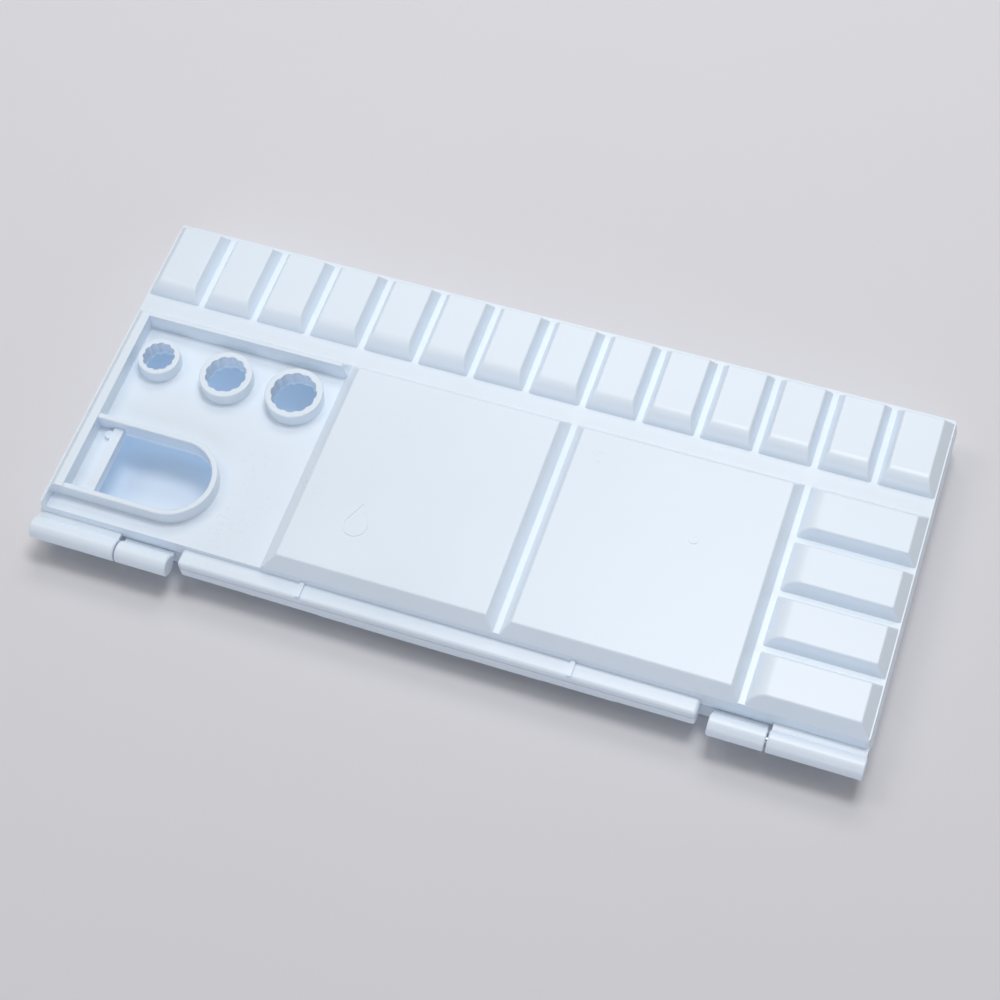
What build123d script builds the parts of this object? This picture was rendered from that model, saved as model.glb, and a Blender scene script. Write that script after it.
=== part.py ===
from build123d import *
import math
import os

# Folding mixing palette: two hinged plastic trays that close face to face.
#
# The palette is modelled closed and lying flat. The well tray is on top with its
# outside up, so every paint well and mixing area shows as a raised block. +X runs
# along the hinge, +Z is up, and the origin is at the middle of the footprint, on
# the surface that the palette lies on. Dimensions are in millimetres.

# Overall size, closed
length = 230.0
depth = 106.9
thickness = 17.5

# Shell
wall = 1.4
draft = 0.9
corner_radius = 1.8
inner_corner = 1.5
rim_gap = 0.3

# Raised blocks: what the wells and mixing areas look like from outside
block_rise = 3.7
block_embed = 0.3
block_round = 0.6
hollow_round = 1.1
ramp_radius = 5.2
mixing_flank = 2.6
panel_side_flank = 3.3
cell_flank = 1.9
end_flank = 2.7
groove_half = 0.8
edge_inset = 0.35

# Well layout, measured back from the front wall of the tray
pitch = 16.25
row_count = 14
panel_cells = 4
mixing_cells = 4
column_cells = 2
column_small = 3
column_pitch = 16.5
mixing_depth = 66.3
row_front = 72.0
row_rear_gap = 1.0

# Hinge
barrel_radius = 3.0
wall_to_axis = 5.4
pin_radius = 1.25
pin_clearance = 0.05
outer_knuckle = (89.9, 114.7)
inner_knuckle = (74.5, 89.4)
web_thickness = 1.3
pin_recess = 0.8
pin_reach = 12.0
bore_end_gap = 0.4
knuckle_chamfer = 0.3

# Flanges that close the hinge gap when the palette lies open
flange_left = -72.0
flange_right = 71.2
flange_gap = 0.15
flange_drop = 2.6
mixing_flange_depth = 4.5
mixing_flange_bow = 1.0
flange_round = 1.0
mixing_flange_round = 1.5
rib_x = 37.4
rib_width = 1.2
rib_height = 0.8

# Handling panel of the well tray
panel_drop = 1.3
panel_ridge = 2.5
panel_end_flank = 1.6
panel_depth = 62.8
panel_lean = 0.7
roll_width = 3.8
roll_drop = 1.4
channel_left = -112.4
channel_round = 1.0
collar_y = 51.4
collar_top = 2.7
# x, bore radius at the cusps, outer radius and turn of the scallops of each brush hole
collars = [(-101.0, 4.15, 6.0, 28.0), (-80.6, 5.4, 7.5, 15.0), (-60.2, 6.05, 8.15, 26.0)]
scallop_count = 12
scallop_depth = 0.45
thumb_wall = 1.7
thumb_top = 3.2
thumb_front = 4.5
thumb_rear = 29.3
thumb_right = -69.3
bar_x = -102.6
bar_width = 2.8
bar_top = 0.5
boss_radius = 1.2
boss_x = -105.0
boss_y = 25.3
boss_height = 1.0
edge_round = 0.45

# Mixing tray
basin_count = 3
basin_corner = 3.2
basin_round = 2.0
floor_round = 1.0

# Faint moulded marks
mark_height = 0.15
mark_line = 0.6
drop_radius = 3.4
drop_tip = 8.0
mark_back = 17.0
mark_right = 20.0
gate_radius = 1.3
gate_x = 57.3
gate_back = 39.5

# Levels and places that follow from the above
rim_z = thickness / 2
groove_z = thickness - block_rise
wall_height = groove_z - rim_z
front_y = -depth / 2 + barrel_radius + wall_to_axis
rear_y = depth / 2 - draft
middle_y = (front_y + rear_y) / 2
axis_y = front_y - wall_to_axis
edge_x = length / 2 - draft
panel_z = groove_z - panel_drop
panel_under_z = panel_z - wall
well_rim_z = rim_z + rim_gap / 2
mixing_rim_z = rim_z - rim_gap / 2
well_lean = math.degrees(math.atan(draft / (groove_z - well_rim_z)))
mixing_lean = math.degrees(math.atan(draft / mixing_rim_z))
flank_slope = mixing_flank / block_rise
reach = 2 * length
hair = 0.01


def grid_x(index):
    """X of the groove line before cell number index of the long row."""
    return (index - row_count / 2) * pitch


def tapered_block(inset, height, lean, radius):
    """A rounded slab standing on the XY plane whose sides lean in by a few degrees."""
    wide = length - 2 * inset
    deep = rear_y - front_y + 2 * draft - 2 * inset
    face = Pos(0, middle_y) * RectangleRounded(wide, deep, radius)
    return extrude(face, amount=height, taper=lean)


def box_between(low, high):
    """A plain block given by its lowest and highest corners."""
    size = [b - a for a, b in zip(low, high)]
    centre = [(a + b) / 2 for a, b in zip(low, high)]
    return Pos(*centre) * Box(*size)


def ramp_run(ramp):
    """Length of a round ramp from its foot to where it meets the flat top."""
    return math.sqrt(ramp**2 - (ramp - block_rise) ** 2)


def hump(low, high, low_run, high_run, rise, base, ramp=0.0):
    """Section of a raised block: drafted flanks, or a round ramp at the low end."""
    slope_high = high_run / block_rise
    high_foot = (high - slope_high * base, base)
    high_top = (high - slope_high * rise, rise)
    if ramp == 0.0:
        slope_low = low_run / block_rise
        low_foot = (low + slope_low * base, base)
        low_top = (low + slope_low * rise, rise)
        return make_face(Polyline(low_foot, high_foot, high_top, low_top, close=True))
    flat_start = low + ramp_run(ramp)
    foot_angle = math.degrees(math.asin((ramp - rise) / ramp))
    arc = CenterArc((flat_start, rise - ramp), ramp, 90, 90 - foot_angle)
    straight = Polyline((low, 0), (low, base), high_foot, high_top, (flat_start, rise))
    return make_face([arc, straight])


def hollow(low, high, low_run, high_run, ramp=0.0):
    """Section of the space inside a raised block, one wall thickness in from it."""
    base = block_rise - ramp_radius
    rise = block_rise - wall
    offset_high = wall * math.hypot(high_run, block_rise) / block_rise
    if ramp == 0.0:
        offset_low = wall * math.hypot(low_run, block_rise) / block_rise
        return hump(low + offset_low, high - offset_high, low_run, high_run, rise, base)
    slope_high = high_run / block_rise
    flat_start = low + ramp_run(ramp)
    inner = ramp - wall
    arc = CenterArc((flat_start, base), inner, 90, 90)
    foot = (flat_start - inner, base)
    high_foot = (high - offset_high - slope_high * base, base)
    high_top = (high - offset_high - slope_high * rise, rise)
    straight = Polyline(foot, high_foot, high_top, (flat_start, rise))
    return make_face([arc, straight])


def at_value(span, value):
    """Whether both ends of a span lie at one value."""
    return max(abs(end - value) for end in span) < hair


def crossed(across, along, radius, smooth_x, smooth_y):
    """The solid shared by a section across X and a section along Y, edges rounded.

    smooth_x and smooth_y are where a round ramp runs into the flat top: that edge
    needs no rounding, and neither do the edges of the base.
    """
    solid = extrude(Plane.XZ * across, amount=reach, both=True)
    solid &= extrude(Plane.YZ * along, amount=reach, both=True)
    base = solid.bounding_box().min.Z
    edges = []
    for edge in solid.edges():
        box = edge.bounding_box()
        on_base = at_value((box.min.Z, box.max.Z), base)
        in_x = at_value((box.min.X, box.max.X), smooth_x)
        in_y = at_value((box.min.Y, box.max.Y), smooth_y)
        if not (on_base or in_x or in_y):
            edges.append(edge)
    return fillet(edges, radius)


class Cell:
    """One raised block of the well tray, with the hollow that the paint goes in.

    x and y are the block's spans at groove level. The runs are how far its low
    and high flanks lean in over the block's rise.
    """

    def __init__(self, x, y, x_runs, y_runs, ramp_on=None):
        self.x = x
        self.y = y
        self.x_runs = x_runs
        self.y_runs = y_runs
        self.ramp_x = ramp_radius if ramp_on == "x" else 0.0
        self.ramp_y = ramp_radius if ramp_on == "y" else 0.0
        self.smooth_x = x[0] + ramp_run(ramp_radius) if ramp_on == "x" else math.inf
        self.smooth_y = y[0] + ramp_run(ramp_radius) if ramp_on == "y" else math.inf

    def outside(self):
        across = hump(*self.x, *self.x_runs, block_rise, -block_embed, self.ramp_x)
        along = hump(*self.y, *self.y_runs, block_rise, -block_embed, self.ramp_y)
        return crossed(across, along, block_round, self.smooth_x, self.smooth_y)

    def inside(self):
        across = hollow(*self.x, *self.x_runs, self.ramp_x)
        along = hollow(*self.y, *self.y_runs, self.ramp_y)
        return crossed(across, along, hollow_round, self.smooth_x, self.smooth_y)


def row_cells():
    """The long row of wells at the back."""
    y = (front_y + row_front, rear_y - row_rear_gap)
    cells = []
    for index in range(row_count):
        low = grid_x(index) + groove_half
        high = grid_x(index + 1) - groove_half
        runs = [cell_flank, cell_flank]
        if index == 0:
            low = -edge_x + edge_inset
            runs[0] = end_flank
        if index == row_count - 1:
            high = edge_x - edge_inset
            runs[1] = end_flank
        cells.append(Cell((low, high), y, runs, (0, cell_flank), ramp_on="y"))
    return cells


def column_wells():
    """The short column of wells at the right end, ramps towards the mixing areas."""
    x = (grid_x(row_count - column_cells) + groove_half, edge_x - edge_inset)
    cells = []
    for index in range(column_small + 1):
        low = front_y + index * column_pitch + groove_half
        high = low + column_pitch - 2 * groove_half
        runs = [cell_flank, cell_flank]
        if index == 0:
            low = front_y
            runs[0] = mixing_flank
        if index == column_small:
            high = front_y + mixing_depth
            runs[1] = mixing_flank
        cells.append(Cell(x, (low, high), (0, end_flank), runs, ramp_on="x"))
    return cells


def mixing_areas():
    """The two large areas in the middle of the well tray."""
    y = (front_y, front_y + mixing_depth)
    cells = []
    for start in range(panel_cells, row_count - column_cells, mixing_cells):
        low = grid_x(start) + groove_half
        high = grid_x(start + mixing_cells) - groove_half
        runs = [mixing_flank, mixing_flank]
        if start == panel_cells:
            low = grid_x(start)
            runs[0] = panel_side_flank
        cells.append(Cell((low, high), y, runs, (mixing_flank, mixing_flank)))
    return cells


def panel_block():
    """The raised block whose middle is sunk to make the handling panel."""
    x = (-edge_x + edge_inset, grid_x(panel_cells))
    y = (front_y, front_y + mixing_depth)
    return Cell(x, y, (mixing_flank, panel_end_flank), (mixing_flank, mixing_flank))


def panel_pocket():
    """The space above the handling panel, open at the front and rolled over there."""
    left = -edge_x + edge_inset + mixing_flank + panel_ridge
    right = grid_x(panel_cells)
    rear = front_y + panel_depth
    front = front_y - wall
    top = 2 * block_rise
    low = -panel_drop
    lean = panel_lean / (block_rise + panel_drop)
    across = Polyline(
        (left, low),
        (right + low * flank_slope, low),
        (right + top * flank_slope, top),
        (left, top),
        close=True,
    )
    roll_start = front_y + roll_width - draft / 2
    roll = (roll_width**2 + roll_drop**2) / (2 * roll_drop)
    roll_angle = math.degrees(math.asin(roll_width / roll))
    roll_foot = (roll_start - roll_width, low - roll_drop)
    along = [
        CenterArc((roll_start, low - roll), roll, 90, roll_angle),
        Polyline(
            roll_foot,
            (front, low - roll_drop),
            (front, top),
            (rear + lean * (top - block_rise), top),
            (rear - panel_lean, low),
            (roll_start, low),
        ),
    ]
    channel_low = (channel_left, front, low)
    channel_high = (left + wall, front_y + thumb_front, top)
    channel = box_between(channel_low, channel_high)
    end_edges = channel.edges().filter_by(Axis.Z).sort_by(Axis.X)[:2]
    channel = fillet(end_edges.sort_by(Axis.Y)[-1], channel_round)
    pocket = extrude(Plane.XZ * make_face(across), amount=reach, both=True) + channel
    pocket &= extrude(Plane.YZ * make_face(along), amount=reach, both=True)
    return Pos(0, 0, groove_z) * pocket


def d_shape(inset):
    """Outline of the thumb rest: straight legs from the left, rounded right end."""
    radius = (thumb_rear - thumb_front) / 2
    centre_x = thumb_right - radius
    centre_y = front_y + (thumb_front + thumb_rear) / 2
    left = -edge_x + edge_inset + mixing_flank + panel_ridge / 2
    leg = centre_x - left
    legs = Pos(left + leg / 2, centre_y) * Rectangle(leg, 2 * (radius - inset))
    return legs + Pos(centre_x, centre_y) * Circle(radius - inset)


def thumb_rest():
    """The wall round the thumb hole, standing on the panel."""
    outline = d_shape(0) - d_shape(thumb_wall)
    height = thumb_top + panel_drop + wall
    ring = Pos(0, 0, panel_under_z) * extrude(outline, amount=height)
    top_edges = ring.edges().group_by(Axis.Z)[-1]
    return fillet(top_edges, edge_round)


def thumb_bar():
    """The bar across the thumb rest, with a small boss in the pocket behind it."""
    low = (bar_x - bar_width / 2, front_y + thumb_front + thumb_wall / 2, panel_under_z)
    high = (bar_x + bar_width / 2, front_y + thumb_rear - thumb_wall / 2, groove_z + bar_top)
    boss = Pos(boss_x, front_y + boss_y, panel_z) * extrude(Circle(boss_radius), boss_height)
    return box_between(low, high) + boss


def thumb_hole():
    """The hole through the panel, inside the thumb rest and right of the bar."""
    hole = Pos(0, 0, panel_under_z - wall) * extrude(d_shape(thumb_wall), amount=reach)
    left_of_bar = box_between((-reach, -reach, 0), (bar_x + bar_width / 2, reach, reach))
    return hole - left_of_bar


def scalloped_hole(radius, turn):
    """The bore of a brush collar: shallow scallops all round, meeting in cusps."""
    arcs = []
    step = 360 / scallop_count
    for index in range(scallop_count):
        angles = [turn + (index + part) * step for part in (0, 0.5, 1)]
        sizes = (radius, radius + scallop_depth, radius)
        points = [
            (size * math.cos(math.radians(angle)), size * math.sin(math.radians(angle)))
            for size, angle in zip(sizes, angles)
        ]
        arcs.append(ThreePointArc(*points))
    return extrude(make_face(arcs), amount=reach)


def collar_tube(outer):
    """The outside of one brush collar."""
    height = collar_top + panel_drop + wall
    tube = Pos(0, 0, panel_under_z) * extrude(Circle(outer), amount=height)
    return fillet(tube.edges().group_by(Axis.Z)[-1], edge_round)


def knuckle(span, side, web_low, bore_radius, bore_span):
    """One hinge knuckle: a barrel on the hinge axis with a web back to the wall."""
    barrel_plane = Plane((side * span[0], axis_y, rim_z), x_dir=(0, 1, 0), z_dir=(side, 0, 0))
    barrel = extrude(barrel_plane * Circle(barrel_radius), amount=span[1] - span[0])
    barrel = chamfer(barrel.edges(), knuckle_chamfer)
    ends = sorted((side * span[0], side * span[1]))
    web = box_between(
        (ends[0] + knuckle_chamfer, axis_y, web_low),
        (ends[1] - knuckle_chamfer, front_y, web_low + web_thickness),
    )
    bore_plane = Plane((side * bore_span[0], axis_y, rim_z), x_dir=(0, 1, 0), z_dir=(side, 0, 0))
    bore = extrude(bore_plane * Circle(bore_radius), amount=bore_span[1] - bore_span[0])
    return barrel + web - bore


def flange(root_z, edge_z, bow, radius):
    """The strip along the front of a tray, from the parting plane to its free edge.

    The free edge may bow away from the parting plane in the middle.
    """
    front = axis_y + flange_gap
    left, right = flange_left, flange_right
    edge = Line((left, edge_z), (right, edge_z))
    if bow != 0.0:
        edge = ThreePointArc((left, edge_z), ((left + right) / 2, edge_z + bow), (right, edge_z))
    rest = Polyline((right, edge_z), (right, root_z), (left, root_z), (left, edge_z))
    plane = Plane((0, front, 0), x_dir=(1, 0, 0), z_dir=(0, -1, 0))
    strip = extrude(plane * make_face([edge, rest]), amount=front - front_y - wall / 2)
    ends = strip.edges().filter_by(Axis.Z).group_by(Axis.Y)[0]
    strip = fillet(ends, flange_round)
    free_face = strip.faces().sort_by(lambda item: abs(item.center().Z - edge_z - bow / 2))[0]
    front_edges = free_face.edges().filter_by(lambda item: item.center().Y < front + flange_round)
    return fillet(front_edges, radius)


def flange_ribs():
    """The two low ribs across the top of the well tray's flange."""
    low_z = groove_z - flange_drop - wall / 2
    high_z = groove_z - flange_drop + rib_height
    front = axis_y + flange_gap + flange_round / 3
    ribs = []
    for x in (-rib_x, rib_x):
        low = (x - rib_width / 2, front, low_z)
        high = (x + rib_width / 2, front_y + wall / 2, high_z)
        ribs.append(box_between(low, high))
    return ribs


def paint_drop():
    """A raised outline of a paint drop, lying on top of the first mixing area."""
    tangent = math.degrees(math.acos(drop_radius / drop_tip))
    outlines = []
    for inset in (0, mark_line):
        radius = drop_radius - inset
        tip = radius / math.cos(math.radians(tangent))
        start = 90 + tangent
        arc = CenterArc((0, 0), radius, start, 360 - 2 * tangent)
        sides = Polyline(arc @ 1, (0, tip), arc @ 0)
        outlines.append(make_face([arc, sides]))
    ring = outlines[0] - outlines[1]
    x = grid_x(panel_cells) + mark_right
    y = front_y + mark_back
    return Pos(x, y, thickness - mark_height) * extrude(ring, amount=2 * mark_height)


def gate_mark():
    """The low round mark that moulding leaves on the second mixing area."""
    place = Pos(gate_x, front_y + gate_back, thickness - mark_height)
    return place * extrude(Circle(gate_radius), amount=2 * mark_height)


def well_tray():
    """The upper half: wells, mixing areas and handling panel over side walls."""
    walls_height = groove_z - well_rim_z
    body = Pos(0, 0, well_rim_z) * tapered_block(0, walls_height, well_lean, corner_radius)
    body += Pos(0, 0, groove_z) * panel_block().outside()
    body -= panel_pocket()
    cells = row_cells() + mixing_areas() + column_wells()
    for cell in cells:
        body += Pos(0, 0, groove_z) * cell.outside()

    space = tapered_block(wall, walls_height - wall, well_lean, inner_corner)
    space = Pos(0, 0, well_rim_z) * space
    panel_edge_x = grid_x(panel_cells) + wall / 3
    panel_edge_y = front_y + panel_depth + wall
    space -= box_between((-reach, -reach, panel_under_z), (panel_edge_x, panel_edge_y, groove_z))
    body -= space
    for cell in cells:
        body -= Pos(0, 0, groove_z) * cell.inside()

    body += [thumb_rest(), thumb_bar()]
    body -= thumb_hole()
    for x, bore, outer, turn in collars:
        place = Pos(x, front_y + collar_y, 0)
        body += place * collar_tube(outer)
        body -= place * scalloped_hole(bore, turn)

    body += flange(well_rim_z, groove_z - flange_drop, 0.0, flange_round)
    body += flange_ribs()
    for side in (-1, 1):
        body += knuckle(outer_knuckle, side, well_rim_z, pin_radius, outer_knuckle)
    body += [paint_drop(), gate_mark()]
    return body


def divider_grooves(offset):
    """The grooves under the mixing tray whose insides divide it into basins.

    A positive offset gives the dividers' inner surfaces, that far above the grooves.
    """
    rise = block_rise + offset
    foot = groove_half + mixing_flank + offset * math.hypot(mixing_flank, block_rise) / block_rise
    top = foot - rise * flank_slope
    grooves = []
    for index in range(1, basin_count):
        x = (index / basin_count - 1 / 2) * (length - 2 * draft)
        section = Polyline((x - foot, 0), (x + foot, 0), (x + top, rise), (x - top, rise), close=True)
        grooves.append(extrude(Plane.XZ * make_face(section), amount=reach, both=True))
    return grooves


def mixing_tray():
    """The lower half: a shallow tray divided into large basins."""
    outer = Rot(180, 0, 0) * tapered_block(0, mixing_rim_z, mixing_lean, corner_radius)
    outer = Pos(0, 2 * middle_y, mixing_rim_z) * outer
    outer = fillet(outer.edges().group_by(Axis.Z)[0], floor_round)
    space_height = mixing_rim_z - wall
    space = Rot(180, 0, 0) * tapered_block(wall, space_height, mixing_lean, basin_corner)
    space = Pos(0, 2 * middle_y, mixing_rim_z) * space
    space -= divider_grooves(wall)
    space = fillet(space.edges().group_by(Axis.Z)[0], basin_round)
    body = outer - divider_grooves(0) - space

    flange_edge_z = mixing_rim_z - mixing_flange_depth
    body += flange(mixing_rim_z, flange_edge_z, -mixing_flange_bow, mixing_flange_round)
    body -= space
    bore_span = (inner_knuckle[1] - pin_reach - bore_end_gap, inner_knuckle[1])
    for side in (-1, 1):
        web_low = mixing_rim_z - web_thickness
        body += knuckle(inner_knuckle, side, web_low, pin_radius + pin_clearance, bore_span)
    return body


def hinge_pin(side):
    """A plain steel pin, pressed into a well tray knuckle from the outer end."""
    start = inner_knuckle[1] - pin_reach
    end = outer_knuckle[1] - pin_recess
    plane = Plane((side * start, axis_y, rim_z), x_dir=(0, 1, 0), z_dir=(side, 0, 0))
    pin = extrude(plane * Circle(pin_radius), amount=end - start)
    return chamfer(pin.edges(), knuckle_chamfer)


parts = {
    "well_tray": well_tray(),
    "mixing_tray": mixing_tray(),
    "hinge_pin_left": hinge_pin(-1),
    "hinge_pin_right": hinge_pin(1),
}

os.makedirs("parts", exist_ok=True)
for name, shape in parts.items():
    export_step(shape, f"parts/{name}.step")
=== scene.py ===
import bmesh
import bpy
from mathutils import Matrix, Vector

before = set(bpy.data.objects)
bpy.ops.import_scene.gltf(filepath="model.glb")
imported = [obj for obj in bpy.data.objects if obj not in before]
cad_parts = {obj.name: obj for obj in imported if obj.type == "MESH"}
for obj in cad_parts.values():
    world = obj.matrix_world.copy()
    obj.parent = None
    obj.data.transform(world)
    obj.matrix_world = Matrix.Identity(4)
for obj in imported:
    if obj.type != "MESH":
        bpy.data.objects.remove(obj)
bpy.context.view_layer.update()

# Lengths are in metres in the row frame, powers in watts, and colours linear.

# Camera: a studio shot from the front right, above
CAMERA_PLACE = (0.11108, -0.24982, 0.47293)
CAMERA_ROWS = (
    (0.944559, -0.25955, 0.201102),
    (0.324844, 0.827875, -0.457275),
    (-0.047801, 0.49725, 0.86629),
)
CAMERA_LENS = 71.591
SENSOR = 36.0

# Lights: name, place, width and height, power, colour. All of them aim at the origin.
WHITE = (1.0, 1.0, 1.0)
SOFTBOXES = (
    ("top_softbox", (0.1, 0.35, 1.15), (0.5, 0.3), 4.8, WHITE),
    ("rear_softbox", (-0.1, 0.75, 0.9), (0.7, 0.35), 2.6, WHITE),
    ("left_softbox", (-0.6, 0.1, 0.95), (0.4, 0.4), 1.3, WHITE),
)
# Lights the palette but not the floor, in place of light that its walls would let through
FRONT_FILL = ("front_fill", (0.05, -0.95, 0.45), (0.8, 0.4), 2.35, (0.80, 0.86, 1.0))
WORLD_STRENGTH = 0.28

# Plastic: base colour, with clouds from moulding, fine specks and slow waves
PLASTIC = (0.80, 0.885, 0.975)
PLASTIC_IOR = 1.49
CLOUD_SCALE = 22.0
CLOUD_DARKER, CLOUD_LIGHTER = 0.985, 1.02
CLOUD_ROUGHNESS = (0.26, 0.32)
SPECK_SCALE = 900.0
SPECK_ROUGHNESS = (0.0, 0.04)
SPECK_HEIGHT = 0.25
WAVE_SCALE = 60.0
PLASTIC_BUMP = (0.15, 0.00001)

# Emission that stands in for light through the walls, on faces inside the closed trays only:
# strongest where a face is most sheltered
GLOW_COLOUR = (0.58, 0.77, 1.0)
GLOW = 0.16
DEEP_SHELTER = 0.55
GLOW_REACH = 0.06
GLOW_SAMPLES = 8
INSIDE_HALF_LENGTH = 0.1125
INSIDE_FRONT, INSIDE_REAR = -0.0435, 0.0505
INSIDE_LOW, INSIDE_HIGH = 0.0007, 0.0122

# Steel: lines along X between two greys
STEEL_DARK, STEEL_LIGHT = (0.42, 0.42, 0.43), (0.60, 0.60, 0.61)
STEEL_LINES = (40.0, 2500.0, 2500.0)
STEEL_ROUGHNESS = (0.22, 0.42)

# Floor: pale paper with mottling and tooth
FLOOR = (0.79, 0.785, 0.82)
FLOOR_HALF_SIZE = 4.0
FLOOR_CELLS = 8
FLOOR_ROUGHNESS = 0.9
FLOOR_DARKER, FLOOR_LIGHTER = 0.99, 1.01
MOTTLE_SCALE = 9.0
TOOTH_SCALE = 1400.0
FLOOR_BUMP = (0.1, 0.00005)

# The part of a noise's 0 to 1 that most of its values lie in
NOISE_LOW, NOISE_HIGH = 0.3, 0.7


# ---------------------------------------------------------------- node helpers
class Nodes:
    """A small builder for the node tree of one material."""

    def __init__(self, name):
        self.material = bpy.data.materials.new(name)
        self.material.use_nodes = True
        self.tree = self.material.node_tree
        self.shader = self.tree.nodes["Principled BSDF"]

    def add(self, kind, **settings):
        node = self.tree.nodes.new(kind)
        for key, value in settings.items():
            setattr(node, key, value)
        return node

    def link(self, source, target):
        self.tree.links.new(source, target)

    def finish(self, colour, roughness):
        self.link(colour, self.shader.inputs["Base Color"])
        if roughness is not None:
            self.link(roughness, self.shader.inputs["Roughness"])

    def coordinates(self):
        return self.add("ShaderNodeTexCoord").outputs["Object"]

    def noise(self, coordinates, scale, detail, roughness):
        node = self.add("ShaderNodeTexNoise")
        node.inputs["Scale"].default_value = scale
        node.inputs["Detail"].default_value = detail
        node.inputs["Roughness"].default_value = roughness
        self.link(coordinates, node.inputs["Vector"])
        return node.outputs["Fac"]

    def span(self, value, low, high, to_low, to_high):
        node = self.add("ShaderNodeMapRange")
        node.inputs["From Min"].default_value = low
        node.inputs["From Max"].default_value = high
        node.inputs["To Min"].default_value = to_low
        node.inputs["To Max"].default_value = to_high
        self.link(value, node.inputs["Value"])
        return node.outputs["Result"]

    def noise_span(self, noise, low, high):
        return self.span(noise, NOISE_LOW, NOISE_HIGH, low, high)

    def maths(self, operation, first, second=0.0):
        node = self.add("ShaderNodeMath", operation=operation)
        for socket, value in zip(node.inputs, (first, second)):
            if isinstance(value, (int, float)):
                socket.default_value = value
            else:
                self.link(value, socket)
        return node.outputs["Value"]

    def blend(self, share, first, second):
        """From the first colour to the second, as share goes from 0 to 1."""
        node = self.add("ShaderNodeMix", data_type="RGBA")
        sockets = [s for s in node.inputs if s.type == "RGBA"]
        for socket, colour in zip(sockets, (first, second)):
            socket.default_value = (*colour, 1.0)
        self.link(share, node.inputs[0])
        return [s for s in node.outputs if s.type == "RGBA"][0]

    def bump(self, height, strength, distance):
        node = self.add("ShaderNodeBump")
        node.inputs["Strength"].default_value = strength
        node.inputs["Distance"].default_value = distance
        self.link(height, node.inputs["Height"])
        self.link(node.outputs["Normal"], self.shader.inputs["Normal"])


def scaled(colour, factor):
    return tuple(min(1.0, channel * factor) for channel in colour)


# ---------------------------------------------------------------- materials
def inside(n, coordinates):
    """1 on the faces inside the closed trays, and 0 on those outside them."""
    place = n.add("ShaderNodeSeparateXYZ")
    n.link(coordinates, place.inputs["Vector"])
    along, across, up = place.outputs
    share = n.maths("LESS_THAN", n.maths("ABSOLUTE", along), INSIDE_HALF_LENGTH)
    for operation, value, limit in (
        ("GREATER_THAN", across, INSIDE_FRONT),
        ("LESS_THAN", across, INSIDE_REAR),
        ("GREATER_THAN", up, INSIDE_LOW),
        ("LESS_THAN", up, INSIDE_HIGH),
    ):
        share = n.maths("MULTIPLY", share, n.maths(operation, value, limit))
    return share


def inner_glow(n, coordinates):
    shelter = n.add("ShaderNodeAmbientOcclusion", samples=GLOW_SAMPLES)
    shelter.inputs["Distance"].default_value = GLOW_REACH
    glow = n.span(shelter.outputs["AO"], 0.0, DEEP_SHELTER, GLOW, 0.0)
    glow = n.maths("MULTIPLY", glow, inside(n, coordinates))
    n.shader.inputs["Emission Color"].default_value = (*GLOW_COLOUR, 1.0)
    n.link(glow, n.shader.inputs["Emission Strength"])


def moulded_plastic():
    """Glossy injection-moulded plastic with faint flow clouding and fine polish marks."""
    n = Nodes("moulded_plastic")
    n.material.diffuse_color = (*PLASTIC, 1.0)
    coordinates = n.coordinates()
    clouds = n.noise(coordinates, CLOUD_SCALE, 4.0, 0.55)
    specks = n.noise(coordinates, SPECK_SCALE, 3.0, 0.6)
    waves = n.noise(coordinates, WAVE_SCALE, 2.0, 0.5)
    darker, lighter = scaled(PLASTIC, CLOUD_DARKER), scaled(PLASTIC, CLOUD_LIGHTER)
    colour = n.blend(n.noise_span(clouds, 0.0, 1.0), darker, lighter)
    cloud_roughness = n.noise_span(clouds, *CLOUD_ROUGHNESS)
    speck_roughness = n.noise_span(specks, *SPECK_ROUGHNESS)
    n.finish(colour, n.maths("ADD", cloud_roughness, speck_roughness))
    n.shader.inputs["IOR"].default_value = PLASTIC_IOR
    inner_glow(n, coordinates)
    n.bump(n.maths("ADD", n.maths("MULTIPLY", specks, SPECK_HEIGHT), waves), *PLASTIC_BUMP)
    return n.material


def drawn_steel():
    """Plain drawn wire, with fine lines along its length."""
    n = Nodes("drawn_steel")
    mapping = n.add("ShaderNodeMapping")
    mapping.inputs["Scale"].default_value = STEEL_LINES
    n.link(n.coordinates(), mapping.inputs["Vector"])
    lines = n.noise(mapping.outputs["Vector"], 1.0, 3.0, 0.6)
    n.finish(n.blend(lines, STEEL_DARK, STEEL_LIGHT), n.noise_span(lines, *STEEL_ROUGHNESS))
    n.shader.inputs["Metallic"].default_value = 1.0
    return n.material


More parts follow.
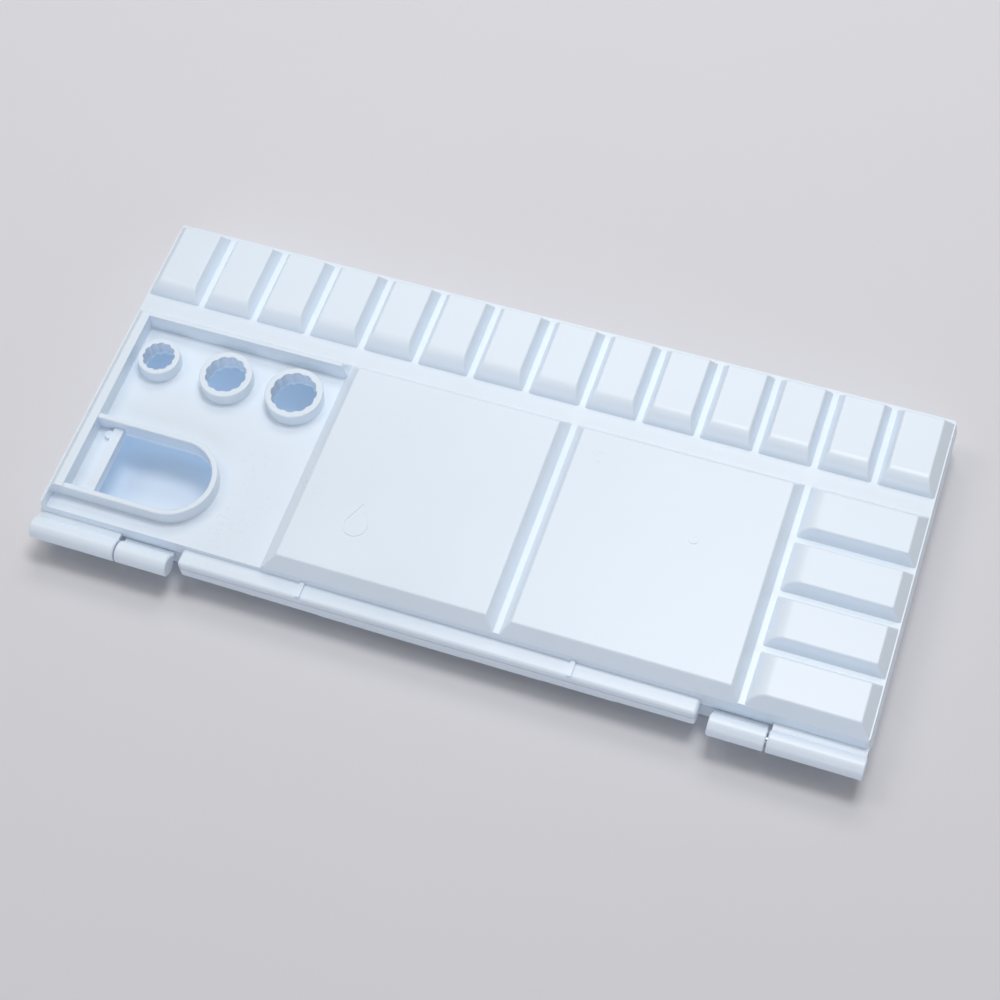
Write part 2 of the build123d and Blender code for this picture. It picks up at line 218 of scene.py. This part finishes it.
def studio_floor():
    """Seamless pale paper: almost even, with a trace of mottling and tooth."""
    n = Nodes("studio_floor")
    coordinates = n.coordinates()
    mottle = n.noise(coordinates, MOTTLE_SCALE, 3.0, 0.5)
    tooth = n.noise(coordinates, TOOTH_SCALE, 2.0, 0.5)
    n.finish(n.blend(mottle, scaled(FLOOR, FLOOR_DARKER), scaled(FLOOR, FLOOR_LIGHTER)), None)
    n.shader.inputs["Roughness"].default_value = FLOOR_ROUGHNESS
    n.bump(tooth, *FLOOR_BUMP)
    return n.material


def dress(names, material):
    for name in names:
        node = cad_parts[name]
        node.data.materials.clear()
        node.data.materials.append(material)


dress(["well_tray", "mixing_tray"], moulded_plastic())
dress(["hinge_pin_left", "hinge_pin_right"], drawn_steel())


# ---------------------------------------------------------------- stage, lights and camera
def add_to_scene(name, data):
    item = bpy.data.objects.new(name, data)
    bpy.context.scene.collection.objects.link(item)
    return item


def make_floor():
    mesh = bpy.data.meshes.new("floor")
    builder = bmesh.new()
    bmesh.ops.create_grid(
        builder, x_segments=FLOOR_CELLS, y_segments=FLOOR_CELLS, size=FLOOR_HALF_SIZE)
    builder.to_mesh(mesh)
    builder.free()
    mesh.materials.append(studio_floor())
    add_to_scene("floor", mesh)


def area_light(name, place, size, power, colour):
    data = bpy.data.lights.new(name, "AREA")
    data.shape = "RECTANGLE"
    data.size, data.size_y = size
    data.energy = power
    data.color = colour
    light = add_to_scene(name, data)
    light.location = place
    light.rotation_euler = (-Vector(place)).to_track_quat("-Z", "Y").to_euler()
    return light


def make_world():
    world = bpy.data.worlds.new("studio")
    world.use_nodes = True
    background = world.node_tree.nodes["Background"]
    background.inputs["Color"].default_value = (*WHITE, 1.0)
    background.inputs["Strength"].default_value = WORLD_STRENGTH
    bpy.context.scene.world = world


def make_camera():
    data = bpy.data.cameras.new("camera")
    data.lens = CAMERA_LENS
    data.sensor_width = SENSOR
    camera = add_to_scene("camera", data)
    turn = Matrix(CAMERA_ROWS).to_4x4()
    camera.matrix_world = Matrix.Translation(CAMERA_PLACE) @ turn
    bpy.context.scene.camera = camera


make_floor()
for softbox in SOFTBOXES:
    area_light(*softbox)
palette = bpy.data.collections.new("palette")
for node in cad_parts.values():
    palette.objects.link(node)
area_light(*FRONT_FILL).light_linking.receiver_collection = palette
make_world()
make_camera()
bpy.context.scene.view_settings.view_transform = "Standard"
